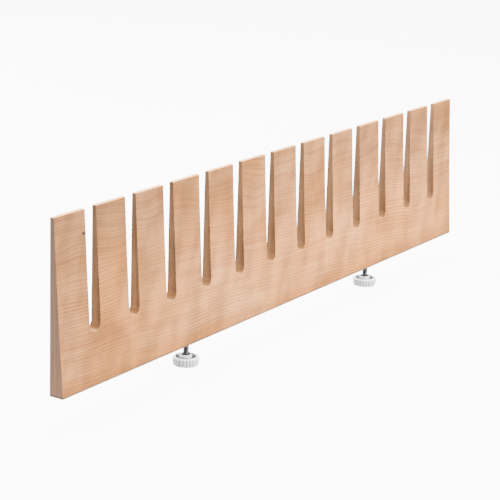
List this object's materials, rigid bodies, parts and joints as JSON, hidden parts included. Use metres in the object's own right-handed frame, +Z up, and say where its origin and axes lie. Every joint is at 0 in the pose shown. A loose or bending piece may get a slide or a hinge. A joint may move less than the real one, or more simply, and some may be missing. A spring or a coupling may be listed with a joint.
{
  "type": "slotted comb board",
  "caption": "Slotted wooden comb board with an upright back and a front that thins towards the top, clamped from below by two serrated thumb screws.",
  "frame": {"origin": "midway between the two screw axes, level with the flat undersides of the knobs, which is the bottom centre of the bounding box", "axes": "+X along the board, -Y out of the sloping front, +Z up along the fingers and the screw axes"},
  "size_m": [0.764, 0.0274, 0.1925],
  "materials": {
    "beech": "fine-sanded steamed beech with a thin matt oil, eased edges",
    "insert_brass": "turned, bare",
    "stud_steel": "blackened steel thread",
    "knob_plastic": "moulded light grey, satin, serrated rim",
    "washer_nylon": "black nylon"
  },
  "bodies": {
    "comb": {"comb_board": "beech", "threaded_insert_left": "insert_brass", "threaded_insert_right": "insert_brass"},
    "washer_left": {"washer_left": "washer_nylon"},
    "washer_right": {"washer_right": "washer_nylon"},
    "thumb_screw_left": {"knob_left": "knob_plastic", "stud_left": "stud_steel"},
    "thumb_screw_right": {"knob_right": "knob_plastic", "stud_right": "stud_steel"}
  },
  "joints": [
    {"name": "travel_left", "type": "slide", "parent": "comb", "child": "washer_left", "axis": [0, 0, 1], "range_m": [-0.01, 0.0105]},
    {"name": "turn_left", "type": "hinge", "parent": "washer_left", "child": "thumb_screw_left", "pos_m": [-0.18, 0, 0], "axis": [0, 0, 1], "range_deg": [-3600, 3780]},
    {"name": "travel_right", "type": "slide", "parent": "comb", "child": "washer_right", "axis": [0, 0, 1], "range_m": [-0.01, 0.0105]},
    {"name": "turn_right", "type": "hinge", "parent": "washer_right", "child": "thumb_screw_right", "pos_m": [0.18, 0, 0], "axis": [0, 0, 1], "range_deg": [-3600, 3780]}
  ],
  "couplings": [
    {"joint": "travel_left", "follows": "turn_left", "m_per_rad": 0.00015915},
    {"joint": "travel_right", "follows": "turn_right", "m_per_rad": 0.00015915}
  ]
}
